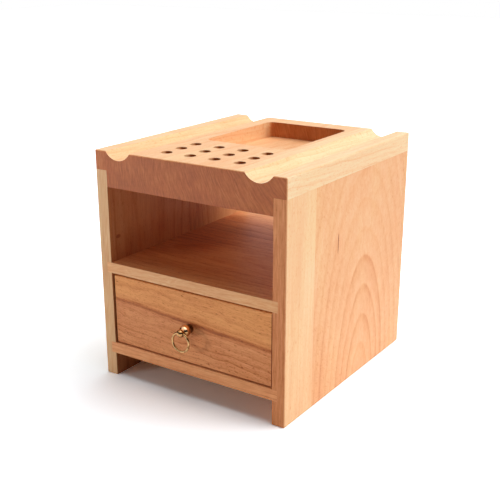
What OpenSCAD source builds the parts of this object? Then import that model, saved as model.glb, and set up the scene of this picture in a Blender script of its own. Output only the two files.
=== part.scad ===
// Tool storage caddy: a small hardwood case with a drilled, grooved and routed top block,
// an open bay, and a drawer with a brass ring pull. Millimetres, +Z up.
// The origin is on the floor, under the middle of the whole box, pull included. The front faces -Y.

/* [Case] */
// Width across the two side panels
case_w = 160; // [146:1:200]
// Depth of the case from front to back
case_d = 180; // [160:1:220]
// Height of the side panels, which stand on the floor
panel_h = 160; // [152:1:200]
// Thickness of the side panels
panel_t = 10; // [9:0.5:12]
// Depth of the housings that hold the shelf and the bottom board in the panels
housing = 4; // [3:0.5:5]
// Chamfer that eases the exposed arrises
ease = 0.5; // [0.2:0.1:0.8]

/* [Boards] */
// Gap between the floor and the bottom board
foot_gap = 18.5; // [12:0.5:24]
// Thickness of the bottom board
bottom_t = 8.5; // [7:0.5:10]
// Height of the drawer bay
bay_h = 56; // [48:1:62]
// Thickness of the shelf
shelf_t = 8; // [7:0.5:10]
// Thickness of the back board that closes the drawer bay
back_t = 6; // [5:0.5:8]

/* [Top block] */
// Thickness of the block where it lies over the panels
lip_t = 14; // [12:0.5:18]
// How far the block drops between the panels
drop_t = 12; // [10:0.5:16]
// Width of each pen groove at the top face
groove_w = 22; // [16:0.5:24]
// Depth of each pen groove
groove_depth = 6; // [4:0.5:8]
// Flat land between each groove and the outer edge of the block
groove_land = 10; // [8:0.5:12]

/* [Tool holes] */
// Diameter of the tool holes
hole_d = 8.5; // [5:0.5:9]
// Wood left under the tool holes
hole_floor = 6; // [4:0.5:10]
// Tool holes from left to right
hole_cols = 4; // [3:1:4]
// Rows of tool holes from front to back
hole_rows = 3; // [2:1:3]
// Distance between columns of holes
hole_pitch_x = 20.6; // [16:0.2:21.6]
// Distance between rows of holes
hole_pitch_y = 17; // [14:0.5:20]
// Wood between the front face and the first row of holes
hole_land = 15.75; // [12:0.25:20]

/* [Tray] */
// Width of the routed tray
tray_w = 71.5; // [50:0.5:72]
// Depth of the routed tray
tray_depth = 12; // [8:0.5:16]
// Wall between the tray and the back of the block
tray_wall = 17.5; // [14:0.5:24]
// Wood between the last row of holes and the tray
tray_land = 13.5; // [12:0.5:20]
// Radius of the tray's corners, which is the cutter's
tray_r = 6; // [3:0.5:8]

/* [Drawer] */
// Thickness of the drawer front
front_t = 10; // [9:0.5:12]
// Thickness of the drawer's sides and back
wall_t = 8; // [7:0.5:10]
// Thickness of the plywood drawer bottom
ply_t = 3; // [2:0.5:4]
// How deep the plywood enters its grooves
ply_groove = 3; // [2:0.5:4]
// Wood under the plywood's grooves
ply_up = 4; // [3:0.5:6]
// Depth of the rabbets in the drawer front that take the sides
rabbet = 6; // [4:0.5:7]
// Depth of the housings in the sides that take the drawer back
back_housing = 3; // [2:0.5:4]
// Wood of the sides behind the drawer back
back_inset = 6; // [4:1:12]
// How much lower the sides are than the front
side_drop = 4; // [2:0.5:8]
// How far the drawer front lies behind the front of the case
recess = 1.2; // [0.5:0.1:3]
// Gap beside the drawer, on each side
gap_side = 0.9; // [0.5:0.1:1.5]
// Gap over the drawer front
gap_top = 1.6; // [0.8:0.1:2.5]
// Gap under the drawer front
gap_bottom = 0.7; // [0.5:0.1:1.5]
// Gap between the drawer's sides and the board they slide on
gap_run = 0.3; // [0.2:0.05:0.5]
// Gap between the closed drawer and the back board
gap_stop = 0.3; // [0.2:0.05:1]

/* [Ring pull] */
// Diameter of the flange that bears on the drawer front
flange_d = 7; // [6:0.5:8]
// Thickness of the flange
flange_t = 1; // [0.6:0.1:1.2]
// Diameter of the neck
neck_d = 5; // [4.5:0.1:5.5]
// Diameter of the large bead
bead_d = 8.7; // [8:0.1:10]
// Distance from the drawer front to the middle of the bead
bead_out = 5.3; // [4.8:0.1:5.6]
// Diameter of the small ball in front, which carries the ring
ball_d = 6; // [5.6:0.1:6.6]
// Distance from the drawer front to the middle of the ball
ball_out = 10.4; // [10:0.1:11]
// Outer diameter of the ring
ring_d = 15.9; // [15.5:0.1:20]
// Diameter of the ring's wire
wire_d = 1.7; // [1.2:0.1:1.9]
// Play all round the wire in the ball's eye
eye_play = 0.42; // [0.4:0.02:0.5]

/* [Fasteners] */
// Diameter of the machine screw that holds the pull
screw_d = 3; // [2.5:0.1:3.5]
// Depth of the screw in the pull
screw_grip = 4.5; // [3:0.1:5]
// Diameter of the screw's head
head_d = 5.6; // [5:0.1:7]
// Height of the screw's head
head_h = 2; // [1.5:0.1:2.4]
// Diameter of the washer under the screw's head
washer_d = 8; // [7:0.5:10]
// Thickness of the washer
washer_t = 0.6; // [0.4:0.1:1]
// Diameter of the dowels between the block and the panels
dowel_d = 5; // [4:0.5:6]
// How far each dowel goes up into the block
dowel_up = 8; // [6:0.5:10]
// How far each dowel goes down into the panel
dowel_down = 12; // [8:0.5:20]
// Dowels along each panel
dowel_count = 3; // [2:1:4]
// Diameter of the brads
brad_d = 1.2; // [1:0.1:1.5]
// Diameter of the brads' heads
brad_head_d = 2.2; // [1.8:0.1:2.6]
// Thickness of the brads' heads
brad_head_h = 0.8; // [0.6:0.1:1]
// Length of the brads
brad_l = 18; // [16:1:22]

/* [Hidden] */
$fn = 96;
eps = 0.01;
fit = 0.05;             // radial clearance of a dowel, brad or screw in its hole
glue_gap = 0.5;         // room left beyond the end of a dowel
eye_clear = 0.12;       // smallest gap between the wire and the eye
mouth_ease = 0.2;       // chamfer round the mouths of the eye

// Heights
bottom_z = foot_gap;
bay_z = bottom_z + bottom_t;
shelf_z = bay_z + bay_h;
shelf_top = shelf_z + shelf_t;
block_z = panel_h - drop_t;
block_top = panel_h + lip_t;
hole_depth = block_top - block_z - hole_floor;

// Widths, counted from the middle
half_w = case_w / 2;
bay_half = half_w - panel_t;
drawer_half = bay_half - gap_side;

// Depths, counted from the front of the case
back_face = case_d - back_t;
front_face = recess;
front_back = front_face + front_t;
drawer_end = back_face - gap_stop;
row_y = hole_land + hole_d / 2;
tray_front = row_y + (hole_rows - 1) * hole_pitch_y + hole_d / 2 + tray_land;
tray_back = case_d - tray_wall;

// Heights of the drawer
front_z = bay_z + gap_bottom;
front_top = shelf_z - gap_top;
side_z = bay_z + gap_run;
side_top = front_top - side_drop;
ply_z = side_z + ply_up;
ply_top = ply_z + ply_t;
inner_half = drawer_half - wall_t;
wall_end = drawer_end - back_inset;
wall_start = wall_end - wall_t;

// Pen grooves: a round cutter of this radius, with its centre this high
groove_r = (groove_w * groove_w / 4 + groove_depth * groove_depth) / (2 * groove_depth);
groove_x = half_w - groove_land - groove_w / 2;
groove_z = block_top - groove_depth + groove_r;

// Pull: the eye crosses the middle of the ball, and the ring hangs in it
pull_z = (front_z + front_top) / 2;
pull_y = front_face - ball_out;
wire_r = wire_d / 2;
ring_r = (ring_d - wire_d) / 2;
eye_r = wire_r + eye_play;
mouth_x = sqrt(ball_d * ball_d / 4 - eye_r * eye_r) - mouth_ease;
ring_z = pull_z + eye_play - eye_clear - ring_r;

// The middle of the whole box, pull included, is over the origin
pull_proud = ball_out + ball_d / 2 - recess;
case_y = (pull_proud - case_d) / 2;

// Places of the fasteners
dowel_x = half_w - panel_t / 2;
dowel_margin = 25;
dowel_step = (case_d - 2 * dowel_margin) / (dowel_count - 1);
brad_margin = 20;
brad_xs = [-bay_half + brad_margin, 0, bay_half - brad_margin];
brad_zs = [bottom_z + bottom_t / 2, shelf_z + shelf_t / 2];
corner_margin = 8;
corner_zs = [ply_top + corner_margin, side_top - corner_margin];
corner_ys = [front_back - rabbet / 2, wall_start + wall_t / 2];

// Colours
beech = [0.90, 0.68, 0.46];
beech_dark = [0.74, 0.48, 0.30];
birch_ply = [0.87, 0.72, 0.52];
brass = [0.80, 0.62, 0.30];
steel = [0.62, 0.62, 0.64];

// Everything is drawn with y = 0 at the front of the case, then moved over the origin.
module over_origin() { translate([0, case_y, 0]) children(); }

// A box between two values on each axis.
module bar(x, y, z) {
    translate([x[0], y[0], z[0]]) cube([x[1] - x[0], y[1] - y[0], z[1] - z[0]]);
}

// Cutters for an arris along each axis; subtracting one leaves a chamfer with legs of this size.
module arris_x(y, z, half) {
    translate([0, y, z]) rotate([45, 0, 0]) cube([2 * half, ease * sqrt(2), ease * sqrt(2)], center = true);
}
module arris_y(x, z, length) {
    translate([x, length / 2, z]) rotate([0, 45, 0])
        cube([ease * sqrt(2), length + 2, ease * sqrt(2)], center = true);
}
module arris_z(x, y, z) {
    translate([x, y, (z[0] + z[1]) / 2]) rotate([0, 0, 45])
        cube([ease * sqrt(2), ease * sqrt(2), z[1] - z[0]], center = true);
}

// A square with round corners, made of exact lines and arcs.
module round_plate(x, y, z, r) {
    bar([x[0] + r, x[1] - r], y, z);
    bar(x, [y[0] + r, y[1] - r], z);
    for (cx = [x[0] + r, x[1] - r], cy = [y[0] + r, y[1] - r])
        translate([cx, cy, z[0]]) cylinder(r = r, h = z[1] - z[0]);
}

// Places of the repeated features
module at_tool_holes() {
    for (i = [0 : hole_cols - 1], j = [0 : hole_rows - 1])
        translate([(i - (hole_cols - 1) / 2) * hole_pitch_x, row_y + j * hole_pitch_y, block_top])
            children();
}
module at_dowels(sides) {
    for (side = sides, i = [0 : dowel_count - 1])
        translate([side * dowel_x, dowel_margin + i * dowel_step, panel_h]) children();
}
module at_back_brads() {
    for (x = brad_xs, z = brad_zs) translate([x, case_d, z]) rotate([90, 0, 0]) children();
}
module at_drawer_brads(sides) {
    for (side = sides, y = corner_ys, z = corner_zs)
        translate([side * drawer_half, y, z]) rotate([0, -90 * side, 0]) children();
}

// A brad along +Z from the surface that its head is flush with; grow makes its hole.
module brad(grow = 0) {
    cylinder(d = brad_head_d + 2 * grow, h = brad_head_h);
    cylinder(d = brad_d + 2 * grow, h = brad_l + grow);
}

module top_block() {
    color(beech) over_origin() difference() {
        union() {
            bar([-half_w, half_w], [0, case_d], [panel_h, block_top]);
            bar([-bay_half, bay_half], [0, case_d], [block_z, panel_h + eps]);
        }
        for (side = [-1, 1]) {
            translate([side * groove_x, -1, groove_z]) rotate([-90, 0, 0])
                cylinder(r = groove_r, h = case_d + 2);
            arris_y(side * half_w, block_top, case_d);
            for (y = [0, case_d]) arris_z(side * half_w, y, [panel_h - 1, block_top + 1]);
        }
        for (y = [0, case_d]) arris_x(y, block_top, case_w);
        at_tool_holes() translate([0, 0, -hole_depth]) cylinder(d = hole_d, h = hole_depth + 1);
        round_plate([-tray_w / 2, tray_w / 2], [tray_front, tray_back],
                    [block_top - tray_depth, block_top + 1], tray_r);
        at_dowels([-1, 1]) translate([0, 0, -1])
            cylinder(d = dowel_d + 2 * fit, h = dowel_up + glue_gap + 1);
    }
}

module block_dowels() {
    color(beech_dark) over_origin() at_dowels([-1, 1]) translate([0, 0, -dowel_down])
        cylinder(d = dowel_d, h = dowel_down + dowel_up);
}

// A side panel on the side -1 (left) or 1 (right), with its housings, rabbet and dowel holes.
module side_panel(side) {
    inner = side * bay_half;
    outer = side * half_w;
    seat = side * (bay_half + housing);
    difference() {
        bar([min(inner, outer), max(inner, outer)], [0, case_d], [0, panel_h]);
        for (z = [[bottom_z, bay_z], [shelf_z, shelf_top]])
            bar([min(inner - side, seat), max(inner - side, seat)], [-1, back_face + eps], z);
        bar([min(inner - side, seat), max(inner - side, seat)], [back_face, case_d + 1],
            [bottom_z, shelf_top]);
        for (y = [0, case_d]) arris_z(outer, y, [-1, panel_h + 1]);
        for (y = [0, case_d]) arris_x(y, 0, case_w);
        arris_y(outer, 0, case_d);
        at_dowels([side]) translate([0, 0, -dowel_down - glue_gap])
            cylinder(d = dowel_d + 2 * fit, h = dowel_down + glue_gap + 1);
    }
}
module left_side_panel() { color(beech) over_origin() side_panel(-1); }
module right_side_panel() { color(beech) over_origin() side_panel(1); }

// A board housed in both panels, with pilot holes for the brads in its back edge.
module housed_board(z) {
    difference() {
        bar([-bay_half - housing, bay_half + housing], [0, back_face], z);
        at_back_brads() brad(fit);
    }
}
module shelf() { color(beech) over_origin() housed_board([shelf_z, shelf_top]); }
module bottom_board() { color(beech) over_origin() housed_board([bottom_z, bay_z]); }

module back_board() {
    color(beech_dark) over_origin() difference() {
        bar([-bay_half - housing, bay_half + housing], [back_face, case_d], [bottom_z, shelf_top]);
        at_back_brads() brad(fit);
    }
}
module back_brads() { color(steel) over_origin() at_back_brads() brad(); }

module drawer_front() {
    color(beech_dark) over_origin() difference() {
        bar([-drawer_half, drawer_half], [front_face, front_back], [front_z, front_top]);
        for (side = [-1, 1])
            bar([min(side * inner_half, side * (drawer_half + 1)),
                 max(side * inner_half, side * (drawer_half + 1))],
                [front_back - rabbet, front_back + 1], [front_z - 1, side_top]);
        bar([-inner_half - ply_groove, inner_half + ply_groove],
            [front_back - ply_groove, front_back + 1], [ply_z, ply_top]);
        for (z = [front_z, front_top]) arris_x(front_face, z, case_w);
        for (side = [-1, 1]) arris_z(side * drawer_half, front_face, [front_z - 1, front_top + 1]);
        translate([0, front_face - 1, pull_z]) rotate([-90, 0, 0])
            cylinder(d = screw_d + 2 * fit, h = front_t + 2);
        at_drawer_brads([-1, 1]) brad(fit);
    }
}

// A drawer side on the side -1 (left) or 1 (right), grooved for the ply and housed for the back.
module drawer_side(side) {
    inner = side * inner_half;
    outer = side * drawer_half;
    groove = side * (inner_half + ply_groove);
    seat = side * (inner_half + back_housing);
    difference() {
        bar([min(inner, outer), max(inner, outer)], [front_back - rabbet, drawer_end],
            [side_z, side_top]);
        bar([min(inner - side, groove), max(inner - side, groove)],
            [front_back - rabbet - 1, drawer_end + 1], [ply_z, ply_top]);
        bar([min(inner - side, seat), max(inner - side, seat)], [wall_start, wall_end],
            [ply_top - eps, side_top + 1]);
        at_drawer_brads([side]) brad(fit);
    }
}
module drawer_left_side() { color(beech) over_origin() drawer_side(-1); }
module drawer_right_side() { color(beech) over_origin() drawer_side(1); }

module drawer_back() {
    color(beech) over_origin() difference() {
        bar([-inner_half - back_housing, inner_half + back_housing], [wall_start, wall_end],
            [ply_top, side_top]);
        at_drawer_brads([-1, 1]) brad(fit);
    }
}

// The plywood slides in under the drawer back, into the grooves of the sides and the front.
module drawer_bottom() {
    color(birch_ply) over_origin()
        bar([-inner_half - ply_groove + fit, inner_half + ply_groove - fit],
            [front_back - ply_groove + fit, wall_end], [ply_z + fit, ply_top]);
}
module drawer_brads() { color(steel) over_origin() at_drawer_brads([-1, 1]) brad(); }

// Turned along +Z from the drawer front: flange, neck, large bead and small ball.
module pull_body() {
    cylinder(d = flange_d, h = flange_t);
    cylinder(d = neck_d, h = bead_out);
    translate([0, 0, bead_out]) sphere(d = bead_d);
    translate([0, 0, ball_out]) sphere(d = ball_d);
}

module pull_knob() {
    color(brass) over_origin() difference() {
        translate([0, front_face, pull_z]) rotate([90, 0, 0]) pull_body();
        translate([0, front_face + 1, pull_z]) rotate([90, 0, 0])
            cylinder(d = screw_d + 2 * fit, h = screw_grip + 1 + glue_gap);
        translate([-ball_d, pull_y, pull_z]) rotate([0, 90, 0]) cylinder(r = eye_r, h = 2 * ball_d);
        for (side = [-1, 1]) translate([side * mouth_x, pull_y, pull_z]) rotate([0, 90 * side, 0])
            cylinder(r1 = eye_r, r2 = eye_r + 2 * mouth_ease, h = 2 * mouth_ease);
    }
}

// The screw comes from inside the drawer, through the washer and the front, into the pull.
module pull_screw() {
    seat = front_back + washer_t;
    color(steel) over_origin() translate([0, seat, pull_z]) difference() {
        union() {
            rotate([90, 0, 0]) cylinder(d = screw_d, h = seat - front_face + screw_grip);
            rotate([-90, 0, 0]) cylinder(d = head_d, h = head_h);
        }
        translate([-head_d, head_h - 1, -0.4]) cube([2 * head_d, 2, 0.8]);
    }
}
module pull_washer() {
    color(steel) over_origin() translate([0, front_back, pull_z]) rotate([-90, 0, 0]) difference() {
        cylinder(d = washer_d, h = washer_t);
        translate([0, 0, -1]) cylinder(d = screw_d + 4 * fit, h = washer_t + 2);
    }
}
module pull_ring() {
    color(brass) over_origin() translate([0, pull_y, ring_z]) rotate([90, 0, 0])
        rotate_extrude() translate([ring_r, 0]) circle(r = wire_r);
}

top_block();
block_dowels();
left_side_panel();
right_side_panel();
shelf();
bottom_board();
back_board();
back_brads();
drawer_front();
drawer_left_side();
drawer_right_side();
drawer_back();
drawer_bottom();
drawer_brads();
pull_knob();
pull_screw();
pull_washer();
pull_ring();
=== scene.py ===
"""Looks of the tool storage caddy: oiled beech boards, a brass ring pull and steel fasteners.

Lengths are written in millimetres and multiplied by MM where Blender needs metres.
The floor is z = 0, the front of the case faces -Y, and angles are in degrees.
"""
import math

import bpy
import numpy as np
from mathutils import Matrix, Vector


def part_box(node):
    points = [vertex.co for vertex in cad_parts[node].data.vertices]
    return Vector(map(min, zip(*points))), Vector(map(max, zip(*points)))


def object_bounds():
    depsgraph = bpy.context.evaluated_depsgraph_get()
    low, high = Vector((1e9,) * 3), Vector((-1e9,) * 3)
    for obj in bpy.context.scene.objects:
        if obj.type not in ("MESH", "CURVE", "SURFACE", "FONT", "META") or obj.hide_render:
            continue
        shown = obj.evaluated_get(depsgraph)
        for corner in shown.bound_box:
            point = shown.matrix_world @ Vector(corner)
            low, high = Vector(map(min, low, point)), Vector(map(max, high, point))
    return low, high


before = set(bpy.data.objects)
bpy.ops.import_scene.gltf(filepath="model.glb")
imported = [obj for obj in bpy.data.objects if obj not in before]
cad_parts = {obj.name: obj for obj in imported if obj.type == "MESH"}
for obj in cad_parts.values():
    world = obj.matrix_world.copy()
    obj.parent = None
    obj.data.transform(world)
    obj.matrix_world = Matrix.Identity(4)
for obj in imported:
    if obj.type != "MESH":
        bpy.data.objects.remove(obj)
cad_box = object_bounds()

MM = 0.001
X, Y, Z = 0, 1, 2
CASE_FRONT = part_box("left_side_panel")[0].y / MM
BLOCK_TOP = cad_box[1].z / MM
PULL_HEIGHT = sum(corner.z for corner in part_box("pull_knob")) / 2 / MM


def deep(distance):
    """A place this far behind the front of the case."""
    return CASE_FRONT + distance


# ---------------------------------------------------------------- camera and lamps

PICTURE_SIDE = 500                 # pixels
FOCAL_PIXELS = 891.97
AXIS_PIXEL = (237.87, 272.27)      # where the lens axis meets the picture
SENSOR = 36.0
CAMERA_AT = Vector((357.8, deep(-458.9), 302.3)) * MM
CAMERA_TURN, CAMERA_RISE, CAMERA_ROLL = 34.4765, 19.4733, -0.3081


def towards(turn, rise):
    """The direction at this turn and rise, in radians. Turn 0 is the front and 90 degrees the right."""
    flat = math.cos(rise)
    return Vector((math.sin(turn) * flat, -math.cos(turn) * flat, math.sin(rise)))


def link(item):
    """Put an object into the scene."""
    bpy.context.scene.collection.objects.link(item)


def add_camera():
    """A camera in front of the right corner, turned and raised round the case, then rolled."""
    turn, rise, roll = (math.radians(a) for a in (CAMERA_TURN, CAMERA_RISE, CAMERA_ROLL))
    back = towards(turn, rise)
    right = Vector((math.cos(turn), math.sin(turn), 0.0))
    up = back.cross(right)
    rolled_right = right * math.cos(roll) + up * math.sin(roll)
    rolled_up = up * math.cos(roll) - right * math.sin(roll)
    data = bpy.data.cameras.new("camera")
    data.sensor_width = SENSOR
    data.lens = FOCAL_PIXELS / PICTURE_SIDE * SENSOR
    data.shift_x = 0.5 - AXIS_PIXEL[0] / PICTURE_SIDE
    data.shift_y = AXIS_PIXEL[1] / PICTURE_SIDE - 0.5
    camera = bpy.data.objects.new("camera", data)
    place = Matrix((rolled_right, rolled_up, back)).transposed().to_4x4()
    place.translation = CAMERA_AT
    camera.matrix_world = place
    link(camera)
    bpy.context.scene.camera = camera


def aim_lamp(lamp, away):
    """Turn a lamp so that it shines against this direction, and put it into the scene."""
    lamp.rotation_mode = "QUATERNION"
    lamp.rotation_quaternion = away.to_track_quat("Z", "Y")
    link(lamp)


def add_sun(name, turn, rise, spread, level):
    """A soft white sun. A facing surface of colour c renders as level * c."""
    data = bpy.data.lights.new(name, "SUN")
    data.energy = level * math.pi
    data.angle = math.radians(spread)
    aim_lamp(bpy.data.objects.new(name, data), towards(math.radians(turn), math.radians(rise)))


def add_panel_light(name, at, aim, size, level):
    """A white soft box at one place that lights its aim at this level."""
    data = bpy.data.lights.new(name, "AREA")
    data.shape = "RECTANGLE"
    data.size, data.size_y = size[0] * MM, size[1] * MM
    away = (Vector(at) - Vector(aim)) * MM
    data.energy = level * math.pi * math.pi * away.length_squared
    lamp = bpy.data.objects.new(name, data)
    lamp.visible_camera = False
    lamp.location = Vector(at) * MM
    aim_lamp(lamp, away)


# ---------------------------------------------------------------- shader maths

def paint(red, green, blue):
    """A colour given as screen values from 0 to 255, in the linear form that sockets take."""
    parts = (v / 255 for v in (red, green, blue))
    return tuple(v / 12.92 if v <= 0.04045 else ((v + 0.055) / 1.055) ** 2.4 for v in parts) + (1.0,)


def plain(value):
    """A grey given as a linear value."""
    return (value, value, value, 1.0)


class Flow:
    """A shader socket that reads like a number, so a + b or 1 - mask adds a Math node."""

    def __init__(self, shade, socket):
        self.shade = shade
        self.socket = socket

    def math(self, operation, *values):
        return self.shade.node("ShaderNodeMath", {"operation": operation}, dict(enumerate(values)))

    def __add__(self, other):
        return self.math("ADD", self, other)

    def __radd__(self, other):
        return self.math("ADD", other, self)

    def __sub__(self, other):
        return self.math("SUBTRACT", self, other)

    def __rsub__(self, other):
        return self.math("SUBTRACT", other, self)

    def __mul__(self, other):
        return self.math("MULTIPLY", self, other)

    def __rmul__(self, other):
        return self.math("MULTIPLY", other, self)

    def __truediv__(self, other):
        return self.math("DIVIDE", self, other)

    def __pow__(self, power):
        return self.math("POWER", self, power)

    def __gt__(self, other):
        return self.math("GREATER_THAN", self, other)

    def __neg__(self):
        return self.math("SUBTRACT", 0.0, self)

    def __abs__(self):
        return self.math("ABSOLUTE", self)


class Shade:
    """One node tree, a material's or the world's. node() adds any node and gives back its output."""

    def __init__(self, owner):
        owner.use_nodes = True
        self.tree = owner.node_tree
        self.tree.nodes.clear()

    def node(self, kind, settings=None, sockets=None, out=0):
        """Add a node of this type: its settings first, then the values or links of its sockets."""
        node = self.tree.nodes.new(kind)
        for name, value in (settings or {}).items():
            if name == "stops":
                self.set_stops(node.color_ramp, value)
            else:
                setattr(node, name, value)
        for name, value in (sockets or {}).items():
            if isinstance(value, Flow):
                self.tree.links.new(value.socket, node.inputs[name])
            else:
                node.inputs[name].default_value = value
        return Flow(self, node.outputs[out])

    @staticmethod
    def set_stops(ramp, stops):
        """Give a colour ramp these (place, colour) stops."""
        while len(ramp.elements) < len(stops):
            ramp.elements.new(0.5)
        for element, (place, colour) in zip(ramp.elements, stops):
            element.position = place
            element.color = colour

    def vector(self, x, y, z):
        return self.node("ShaderNodeCombineXYZ", sockets={0: x, 1: y, 2: z})

    def split(self, vector):
        return [self.node("ShaderNodeSeparateXYZ", sockets={0: vector}, out=i) for i in range(3)]

    def coordinates(self):
        """The place of each point in the shared frame, as x, y and z in millimetres."""
        place = self.node("ShaderNodeTexCoord", out="Object")
        sockets = {0: place, "Scale": 1 / MM}
        return self.split(self.node("ShaderNodeVectorMath", {"operation": "SCALE"}, sockets))

    def noise(self, x, y, z, detail=2.0, roughness=0.5, out=0):
        """Noise whose lumps are about one unit wide, from 0 to 1 about a mean of 0.5."""
        place = self.vector(x, y, z)
        sockets = {"Vector": place, "Scale": 1.0, "Detail": detail, "Roughness": roughness}
        return self.node("ShaderNodeTexNoise", sockets=sockets, out=out)

    def line_noise(self, w, detail=0.0):
        """Noise along one number."""
        settings = {"noise_dimensions": "1D"}
        return self.node("ShaderNodeTexNoise", settings, {"W": w, "Scale": 1.0, "Detail": detail})

    def step(self, value, low, high):
        """A soft step from 0 below low to 1 above high."""
        settings = {"interpolation_type": "SMOOTHSTEP"}
        return self.node("ShaderNodeMapRange", settings, {0: value, 1: low, 2: high})

    def mix(self, factor, first, second, blend="MIX"):
        """Two colours mixed by a factor."""
        settings = {"data_type": "RGBA", "blend_type": blend}
        return self.node("ShaderNodeMix", settings, {0: factor, 6: first, 7: second}, out=2)

    def ramp(self, value, stops):
        """A colour looked up along a ramp."""
        return self.node("ShaderNodeValToRGB", {"stops": stops}, {0: value})

    def bump(self, height, strength, depth, soften=0.0):
        """A normal from a height, over arrises softened to a radius in millimetres."""
        sockets = {"Height": height, "Strength": strength, "Distance": depth * MM}
        if soften:
            bevel = {"Radius": soften * MM}
            sockets["Normal"] = self.node("ShaderNodeBevel", {"samples": 4}, bevel)
        return self.node("ShaderNodeBump", sockets=sockets)

    def spot(self, place, middle, size):
        """1 in the middle of an ellipse, falling to 0 from half way to its rim, where the way from
        the middle over the size, as u and v, has u * u + v * v = 1."""
        u, v = ((at - centre) / width for at, centre, width in zip(place, middle, size))
        return 1 - self.step(u * u + v * v, 0.25, 1.0)

    def close(self, surface, output="ShaderNodeOutputMaterial"):
        """End the tree with this surface."""
        end = self.tree.nodes.new(output)
        self.tree.links.new(surface.socket, end.inputs["Surface"])

    def close_principled(self, **sockets):
        """End the tree with a Principled surface; _ in a socket's name stands for a space."""
        named = {name.replace("_", " "): value for name, value in sockets.items()}
        self.close(self.node("ShaderNodeBsdfPrincipled", sockets=named))


def new_material(name):
    """A new material and its empty node tree."""
    material = bpy.data.materials.new(name)
    return material, Shade(material)


# ---------------------------------------------------------------- beech

# Oiled beech from its palest wood at tone 0 to its darkest at tone 1.
BEECH = (
    (0.00, paint(253, 228, 188)),
    (0.14, paint(251, 211, 162)),
    (0.32, paint(246, 190, 138)),
    (0.50, paint(235, 164, 110)),
    (0.68, paint(212, 134, 83)),
    (0.84, paint(183, 101, 54)),
    (1.00, paint(134, 67, 33)),
)
ROSE = paint(255, 232, 224)
AMBER = paint(255, 250, 222)
GREY = paint(234, 245, 250)

# End grain is darker partly for its own colour and partly as painted shade on the end faces.
END_TONE = 0.86          # tone of end grain
OILED = 0.46             # roughness of the oiled surface
SHEEN = 0.2              # specular level of the oil
ARRIS = 0.35             # radius to which the shading rounds the arrises
HUE_BLEND = 0.9          # how far soft clouds carry the colour to the cast or to amber

# How wide the lumps of each kind of figure are across the grain, and how long along it.
SWAY = (38, 90)          # slow waves of the rings
RIPPLE = (12, 20)        # short waves of the rings
VIGOUR = (14, 60)        # stretches where the rings are strong or faint
CLOUD = (22, 70)         # paler and darker patches
HUE = (17, 75)           # rosier and yellower patches
STRIPE = (2.4, 95)       # long stripes
DASH = (1.1, 8)          # short pore lines
FIBRE = (0.5, 18)        # fibres

BAND = 9                 # how wide bands of paler and darker rings are, along the radius
BAND_START = 3.7         # where along its noise the bands start

# Rays are blades: how far apart they stand at the reach of the board, how tall they are along the
# grain, and how far they run along the radius.
FINE_RAY = (0.5, 2.2, 7)
BOLD_RAY = (0.9, 3.6, 9)
END_RAY = (0.9, 4, 9)
BOLD_SHIFT = 31          # keeps the bold rays from following the fine ones

FACING = (0.5, 0.9)      # how squarely a face looks one way, from not at all to fully


class Stave:
    """One stick of a glued board, and where in the log it was cut.

    It starts at a place across the board and has its pith at (across, through), leaning by
    (across, through) for each millimetre along the grain. Rings are this far apart, figure is how
    much darker a ring's late wood is, and tone is the mean place on the beech ramp. Blush turns
    the colour from yellow to the cast. Seed moves the figure along the grain, and years sets which
    rings are the strong ones.
    """

    def __init__(self, start, pith, lean=(0.0, 0.0), ring=3.2, figure=0.14, tone=0.3, blush=0.1,
                 seed=0.0, years=0.0):
        self.start = start
        self.pith_across, self.pith_through = pith
        self.lean_across, self.lean_through = lean
        self.ring = ring
        self.figure = figure
        self.tone = tone
        self.blush = blush
        self.seed = seed
        self.years = years


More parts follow.
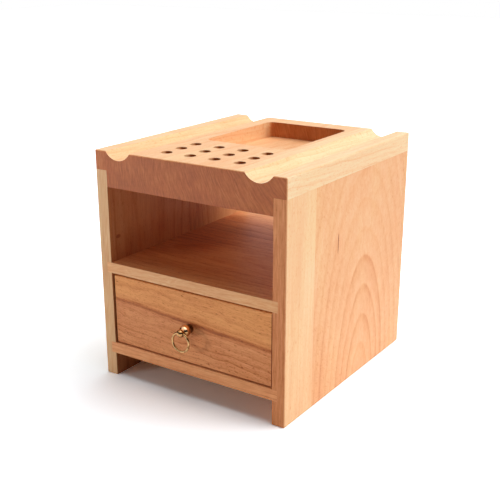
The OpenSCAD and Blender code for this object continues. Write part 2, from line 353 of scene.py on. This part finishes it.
class Board:
    """Oiled beech, worked out through the solid so that rings, rays and end grain meet at arrises.

    The grain runs along one axis, the staves lie side by side across another, and the third goes
    through the board. The values below are a plain board's, and each board gives those it changes.
    """

    wobble = 1.6         # how far slow waves move the rings
    ripple = 0.0         # how far short waves move them
    reach = 80.0         # the radius at which rays stand as far apart as written
    calm = ()            # two places along the grain, between which the rings fade
    fleck = 0.18         # how dark rays are on long grain
    grain = 0.22         # how strong the long stripes are
    back_end = ()        # a place along the grain, and the tone of end grain beyond it
    # The darker low edge is partly the wood's own colour and partly painted shade on front edges.
    edge_tone = 0.0      # how much darker the edge is that faces the low side across
    # Faces that look up from a hollow are darker, partly for a rougher cut and partly as painted shade.
    sunk = ()            # a height, and how much darker faces are that look up from below it
    # The inward side is darkened as painted shade inside the case, less towards the back.
    inside = ()          # the side that faces inwards as 1 or -1, how much darker it is, and two
                         # places across, between which most of that fades
    marks = ()           # soft ellipses, each as (across, along), (width, length) and added tone
    heart = ()           # where the dark heart starts: its place across at 0, its slope along, the
                         # width of its line, the tones added above and below, and the line's own
    cast = ROSE          # the colour of a blush

    def __init__(self, name, along, across, staves, **changes):
        for key, value in changes.items():
            assert hasattr(Board, key), key
            setattr(self, key, value)
        self.staves = staves
        self.material, self.s = new_material(name)
        place = self.s.coordinates()
        through = X + Y + Z - along - across
        self.g, self.a, self.b = place[along], place[across], place[through]
        self.run = self.g + self.of_stave("seed")
        facing = self.s.split(self.s.node("ShaderNodeTexCoord", out="Normal"))
        self.end = self.s.step(abs(facing[along]), *FACING)
        self.edge = self.s.step(-facing[across], *FACING)
        self.facing_through = facing[through]
        self.find_pith()

    def of_stave(self, name):
        """One property of the staves at each point: every glue line adds its step."""
        value = getattr(self.staves[0], name)
        for before, after in zip(self.staves, self.staves[1:]):
            step = getattr(after, name) - getattr(before, name)
            if step:
                value = value + (self.a > after.start) * step
        return value

    def lumps(self, size, around=None, **settings):
        """Noise about a mean of 0 in lumps of this size, in the board or around a pith."""
        a, b = around or (self.a, self.b)
        return self.s.noise(a / size[0], b / size[0], self.run / size[1], **settings) - 0.5

    def find_pith(self):
        """The way of each point from the pith, moved by waves, and its arc, radius and ring."""
        width, length = SWAY
        waves = self.s.noise(self.a / width, self.b / width, self.run / length, out=1)
        self.sway = [wave - 0.5 for wave in self.s.split(waves)]
        a = self.a - self.of_stave("pith_across") - self.g * self.of_stave("lean_across")
        b = self.b - self.of_stave("pith_through") - self.g * self.of_stave("lean_through")
        a = a + self.sway[0] * (2 * self.wobble)
        b = b + self.sway[1] * (2 * self.wobble)
        if self.ripple:
            a = a + self.lumps(RIPPLE, detail=1.0) * (2 * self.ripple)
        self.from_pith = (a, b)
        self.arc = a.math("ARCTAN2", a, b) * self.reach
        self.radius = (a * a + b * b) ** 0.5
        self.count = self.radius / self.of_stave("ring")

    def late_wood(self):
        """Each ring, from 0 to 1: it darkens slowly, then quickly, and stops short."""
        s = self.s
        share = self.count.math("FRACT", self.count)
        stop = 1 - s.step(share, 0.90, 1.0)
        return (s.step(share, 0.10, 0.88) * 0.4 + s.step(share, 0.62, 0.90) * 0.6) * stop

    def rings(self, late):
        """The late wood as it shows: faint in lean years, and where the tree grew weakly."""
        s = self.s
        number = self.count.math("FLOOR", self.count) + self.of_stave("years")
        year = s.node("ShaderNodeTexWhiteNoise", {"noise_dimensions": "1D"}, {"W": number})
        vigour = s.step(self.lumps(VIGOUR, detail=1.0), -0.25, 0.20)
        rings = late * (0.40 + year * 0.60) * (0.45 + vigour * 0.55)
        if self.calm:
            rings = rings * (1 - s.step(self.g, *self.calm) * 0.55)
        return rings

    def rays(self, size, low, high, shift=0.0):
        """Thin blades along the radius: dashes on a flat sawn face and flakes on a quartered one."""
        gap, tall, far = size
        blades = self.s.noise(self.arc / gap + shift, self.run / tall, self.radius / far, detail=1.0)
        return self.s.step(blades, low, high)

    def end_rays(self):
        """The same blades cut across, as fine lines on end grain."""
        gap, tall, far = END_RAY
        return self.s.noise(self.arc / gap, self.radius / far, self.run / tall) - 0.5

    def base_tone(self):
        """The tone of each stave, of end grain and of the low edge."""
        end_tone = END_TONE
        if self.back_end:
            place, tone_there = self.back_end
            end_tone = END_TONE + (self.g > place) * (tone_there - END_TONE)
        tone = self.of_stave("tone")
        return tone + self.end * (end_tone - tone) + self.edge * self.edge_tone

    def add_painted_shade(self, tone):
        """Paint shade on inward sides and in hollows, where a rougher cut also darkens."""
        s = self.s
        if self.sunk:
            height, depth = self.sunk
            looks_up = s.step(self.facing_through, *FACING)
            tone = tone + (1 - (self.b > height)) * looks_up * depth
        if self.inside:
            side, depth, first, last = self.inside
            looks_in = s.step(self.facing_through * side, *FACING)
            tone = tone + looks_in * (1 - s.step(self.a, first, last) * 0.7) * depth
        return tone

    def add_heart(self, tone, blush):
        """Part the board at a sloping line: dark heart below, paler wood with the blush above."""
        s = self.s
        middle, slope, width, above, below, line = self.heart
        height = self.a - middle - self.g * slope + self.sway[2] * 5
        upper = s.step(height, -1.5, 1.5)
        tone = tone + below + upper * (above - below)
        line_side = s.step(height, -width, -width * 0.2)
        tone = tone + line_side * (1 - s.step(height, 0.0, width * 0.8)) * line
        return tone, upper * blush

    def finish(self):
        """Put the figure together and close the material."""
        s, end, edge = self.s, self.end, self.edge
        late = self.late_wood()
        rings = self.rings(late)
        band = s.line_noise(self.radius / BAND + BAND_START, detail=1.0) - 0.5
        flecks = self.rays(FINE_RAY, 0.56, 0.72) * 0.55
        flecks = flecks + self.rays(BOLD_RAY, 0.63, 0.76, BOLD_SHIFT) * 0.75
        fibre = self.lumps(FIBRE, self.from_pith, roughness=0.6)
        dash = self.lumps(DASH, self.from_pith)
        stripe = self.lumps(STRIPE, self.from_pith)

        tone = self.base_tone()
        tone = tone + (rings + band * 0.5) * self.of_stave("figure") * (1 - end * 0.9)
        tone = tone + self.lumps(CLOUD) * 0.14
        long_grain = flecks * self.fleck * (1 - edge * 0.75) + fibre * (edge * 0.40 + 0.13)
        long_grain = long_grain + dash * (self.fleck * 0.9) + stripe * self.grain
        tone = tone + long_grain * (1 - end * 0.8) + self.end_rays() * end * 0.28
        tone = self.add_painted_shade(tone)
        for middle, size, depth in self.marks:
            tone = tone + s.spot((self.a, self.g), middle, size) * depth
        blush = self.of_stave("blush")
        if self.heart:
            tone, blush = self.add_heart(tone, blush)

        hue = self.lumps(HUE)
        colour = s.ramp(tone, BEECH)
        colour = s.mix(blush + hue * HUE_BLEND, colour, self.cast, "MULTIPLY")
        colour = s.mix(hue * -HUE_BLEND, colour, AMBER, "MULTIPLY")
        roughness = OILED + late * 0.05 + flecks * -0.06 + fibre * 0.12
        height = fibre * 0.6 - flecks * 0.3 - late * 0.2
        s.close_principled(Base_Color=colour, Roughness=roughness, Specular_IOR_Level=SHEEN,
                           Normal=s.bump(height, 0.35, 0.08, soften=ARRIS))
        return self.material


def beech(name, along, across, staves, **changes):
    """The material of one beech board."""
    return Board(name, along, across, staves, **changes).finish()


# ---------------------------------------------------------------- metal

# Colours of painted shade on the brass behind the bead, and of a painted highlight on its top.
SHADED_BRASS = paint(122, 78, 42)
HIGHLIGHT_BRASS = paint(244, 196, 152)
TARNISH = 2.2            # how wide the clouds of tarnish are
HAIRLINE = (0.9, 0.06)   # how long and how high hairlines in the polish are


def metal(name, light, dark, roughness, shade_span=(), highlight_patch=()):
    """Worn metal: tarnish in soft clouds and fine hairlines in the polish.

    Two places along Y give painted shade: from the first the colour darkens and the polish
    roughens, and at the second both are full. A (y, z) and a size give a painted highlight, a patch
    whose colour is turned bright.
    """
    material, s = new_material(name)
    x, y, z = s.coordinates()
    lumps = s.noise(x / TARNISH, y / TARNISH, z / TARNISH, detail=4.0, roughness=0.6)
    cloud = s.step(lumps, 0.38, 0.72)
    hair = s.noise(x / HAIRLINE[0], y / HAIRLINE[0], z / HAIRLINE[1]) - 0.5
    colour = s.mix(cloud, light, dark)
    # Painted shade: the colour darkens between the two places along Y, and the polish roughens there.
    if shade_span:
        shade_mask = s.step(y, *shade_span)
        colour = s.mix(shade_mask * 0.85, colour, SHADED_BRASS)
        cloud = cloud + shade_mask * 1.6
    # Painted highlight: a patch of the colour turned bright over the top of the bead.
    if highlight_patch:
        colour = s.mix(s.spot((y, z), *highlight_patch), colour, HIGHLIGHT_BRASS)
    s.close_principled(Base_Color=colour, Roughness=roughness + cloud * 0.12 + hair * 0.10,
                       Metallic=1.0, Normal=s.bump(hair, 0.25, 0.01))
    return material


# ---------------------------------------------------------------- stage

CARD_SEEN = (1.42, 1.49, 1.55, 1.0)      # above white, so that only the card's shadows stay
CARD_LIT = plain(0.78)                   # what the card gives back to the object
FLAG_BLACK = plain(0.03)


def seen(s):
    """1 for rays from the camera, mirrors and glass, and 0 for light on the object."""
    paths = [s.node("ShaderNodeLightPath", out=f"Is {kind} Ray")
             for kind in ("Camera", "Glossy", "Transmission")]
    either = sum(paths[1:], paths[0])
    return either.math("MINIMUM", either, 1.0)


def card_material():
    """White card that keeps the shadow of what stands on it."""
    material, s = new_material("white_card")
    lit, shown = (s.node("ShaderNodeBsdfDiffuse", sockets={"Color": c}) for c in (CARD_LIT, CARD_SEEN))
    s.close(s.node("ShaderNodeMixShader", sockets={0: seen(s), 1: lit, 2: shown}))
    return material


def add_stage_piece(name, corners, faces, material):
    """A piece that only the pictures have. Its corners are in metres."""
    mesh = bpy.data.meshes.new(name)
    mesh.from_pydata(corners, [], faces)
    mesh.materials.append(material)
    piece = bpy.data.objects.new(name, mesh)
    link(piece)
    return piece


def add_floor(reach=4.0):
    """A square card that reaches this many metres each way."""
    corners = [(-reach, -reach, 0), (reach, -reach, 0), (reach, reach, 0), (-reach, reach, 0)]
    add_stage_piece("floor", corners, [(0, 1, 2, 3)], card_material())


def add_flag(turns, away, height, panels=16, lift=1.0):
    """A dark curved wall that only mirrors see, so that polished metal shows dark as well as light.

    The wall is (away sin t, -away cos t) round the front of the case, for turns t from first to
    last, and rises from its lift over the floor to its height above that.
    """
    material, s = new_material("black_flag")
    s.close(s.node("ShaderNodeBsdfDiffuse", sockets={"Color": FLAG_BLACK}))
    turn = np.radians(np.linspace(turns[0], turns[1], panels + 1))
    foot = np.column_stack([away * np.sin(turn), deep(-away * np.cos(turn)), np.full_like(turn, lift)])
    head = foot + (0, 0, height)
    corners = np.concatenate([foot, head]) * MM
    faces = [(k + 1, k, panels + 1 + k, panels + 2 + k) for k in range(panels)]
    flag = add_stage_piece("flag", corners.tolist(), faces, material)
    flag.visible_camera = flag.visible_diffuse = False
    flag.visible_shadow = flag.visible_transmission = False


def set_world(level):
    """White to the camera and to mirrors, and an even grey that lights the object."""
    world = bpy.data.worlds.new("studio")
    bpy.context.scene.world = world
    s = Shade(world)
    grey, white = (s.node("ShaderNodeBackground", sockets={"Color": plain(1.0), "Strength": v})
                   for v in (level, 1.0))
    sky = s.node("ShaderNodeMixShader", sockets={0: seen(s), 1: grey, 2: white})
    s.close(sky, output="ShaderNodeOutputWorld")


add_camera()
add_floor()
set_world(0.10)
# The key comes from high behind the right, and the side sun rakes the right panel.
add_sun("key", turn=145, rise=68, spread=70, level=0.85)
add_sun("side", turn=112, rise=22, spread=36, level=0.335)
# A card low on the left lifts the front, and a small one behind lights the open end of the bay.
add_panel_light("side_card", at=(-600, deep(-740), 60), aim=(0, CASE_FRONT, 60), size=(260, 260),
                level=0.44)
add_panel_light("back_card", at=(30, deep(430), 200), aim=(-70, deep(165), 115), size=(90, 80),
                level=0.24)
add_flag(turns=(-110, 105), away=900, height=800)


# ---------------------------------------------------------------- dressing the nodes

def dress(material, *names):
    """Give CAD nodes this material in every slot."""
    for name in names:
        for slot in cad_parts[name].material_slots:
            slot.material = material


# The block: two wide flat sawn staves, with paler wood along the left edge, and hollows whose
# floors are darker, partly for a rougher cut and partly as painted shade.
dress(beech("beech_block", Y, X, [
    Stave(-100, pith=(-85, 470), lean=(0.03, -0.03), ring=3.4, figure=0.12, tone=0.24, seed=40),
    Stave(40, pith=(-85, 365), lean=(0.02, -0.04), ring=3.6, figure=0.18, tone=0.11, blush=0.0,
          seed=190),
], wobble=3.4, ripple=1.5, reach=280, back_end=(deep(100), 0.70), sunk=(BLOCK_TOP - 9, 0.09), marks=[
    ((-77, deep(70)), (10.0, 130.0), -0.08),
]), "top_block")

# The right panel: a pale narrow stave in front, and a wide one cut near its pith, whose rings
# leave the board as tall arches. The marks are a short crack, its warm foot, paler wood along
# the glue line and a darker patch low down.
dress(beech("beech_right_panel", Z, Y, [
    Stave(deep(-50), pith=(deep(20), 190), lean=(0.01, 0.0), ring=3.0, figure=0.08, tone=0.20,
          seed=15),
    Stave(deep(37), pith=(deep(110), 72.7), lean=(0.0, -0.35), ring=8.0, figure=0.22, tone=0.28,
          blush=0.4, years=6662),
], edge_tone=0.45, inside=(-1, 0.3, deep(130), deep(180)), calm=(80, 125), ripple=0.7, marks=[
    ((deep(69.6), 113.5), (0.9, 9.5), 0.45),
    ((deep(70), 80), (4.0, 5.0), 0.06),
    ((deep(29), 115), (11.0, 65.0), -0.07),
    ((deep(45), 25), (14.0, 45.0), 0.05),
]), "right_side_panel")

# The left panel: plain and greyer, with a small knot and painted shade inside the bay.
dress(beech("beech_left_panel", Z, Y, [
    Stave(deep(-50), pith=(-40, -170), lean=(0.02, 0.03), ring=3.4, figure=0.11, tone=0.27,
          blush=1.0, seed=330),
    Stave(deep(95), pith=(60, -120), lean=(-0.03, 0.05), ring=3.6, figure=0.11, tone=0.31,
          blush=1.0, seed=80),
], edge_tone=0.09, inside=(1, 0.46, deep(105), deep(170)), fleck=0.10, grain=0.15, cast=GREY, marks=[
    # A band of painted shade at the height of the shelf, darkening the foot of the bay's wall.
    ((deep(60), 88), (100.0, 30.0), 0.05),
    ((deep(9), 109), (3.0, 1.8), 0.16),
]), "left_side_panel")

# The shelf, with painted shade over its top, most at its left by the wall of the bay.
dress(beech("beech_shelf", X, Y, [
    Stave(deep(-50), pith=(-20, 10), lean=(0.06, 0.05), ring=3.0, figure=0.11, tone=0.35,
          blush=0.5, seed=120),
    Stave(deep(75), pith=(70, 190), lean=(0.05, -0.04), ring=3.3, figure=0.11, tone=0.38,
          blush=0.5, seed=500),
], ripple=1.6, edge_tone=0.07, inside=(1, 0.30, deep(135), deep(175)), grain=0.24, cast=GREY, marks=[
    # Painted shade at the left of the shelf, by the wall of the bay.
    ((deep(95), -80), (75.0, 75.0), 0.17),
]), "shelf")

dress(beech("beech_bottom", X, Y, [
    Stave(deep(-50), pith=(-60, -70), lean=(0.03, 0.02), ring=3.0, tone=0.42, seed=720),
    Stave(deep(90), pith=(40, 110), lean=(0.02, -0.04), ring=3.3, tone=0.40, seed=900),
], edge_tone=0.12), "bottom_board")

dress(beech("beech_back", X, Z, [
    Stave(0, pith=(40, 10), lean=(0.04, 0.05), ring=3.0, tone=0.30, seed=260),
]), "back_board")

# The drawer front: its lower half is dark heart, parted from the rest by a sloping line.
dress(beech("beech_drawer_front", X, Z, [
    Stave(0, pith=(84, deep(-58)), lean=(-0.066, 0.0), ring=2.9, figure=0.20, tone=0.0, blush=0.8),
], wobble=2.8, ripple=2.2, fleck=0.27, cast=AMBER,
    heart=(59.2, -0.066, 3.0, 0.54, 0.62, 0.24)), "drawer_front")

dress(beech("beech_drawer_sides", Y, Z, [
    Stave(0, pith=(-30, 20), lean=(0.03, 0.05), ring=3.0, tone=0.30, seed=610),
]), "drawer_left_side", "drawer_right_side")

dress(beech("beech_drawer_back", X, Z, [
    Stave(0, pith=(-60, 0), lean=(0.03, 0.05), ring=3.0, tone=0.32, seed=410),
]), "drawer_back")

# The plywood: a peeled face has wide, faint figure.
dress(beech("birch_ply", X, Y, [
    Stave(deep(-50), pith=(0, -200), lean=(0.03, 0.1), ring=5.0, tone=0.18, blush=0.0, seed=50),
]), "drawer_bottom")

dress(beech("beech_dowels", Z, X, [
    Stave(-100, pith=(0, 40), ring=2.0, tone=0.3, seed=50),
]), "block_dowels")

# The pull: painted shade behind the bead, and a painted highlight over its top.
dress(metal("polished_brass", paint(194, 146, 96), paint(134, 88, 46), 0.14,
            shade_span=(deep(-3.2), deep(-0.6)),
            highlight_patch=((deep(-5.2), PULL_HEIGHT + 3.85), (5.0, 3.6))), "pull_knob")
dress(metal("brass_wire", paint(196, 155, 104), paint(134, 92, 52), 0.16), "pull_ring")
dress(metal("bright_steel", paint(196, 196, 200), paint(150, 150, 156), 0.28),
      "pull_screw", "pull_washer", "back_brads", "drawer_brads")


view = bpy.context.scene.view_settings
view.view_transform = "Standard"
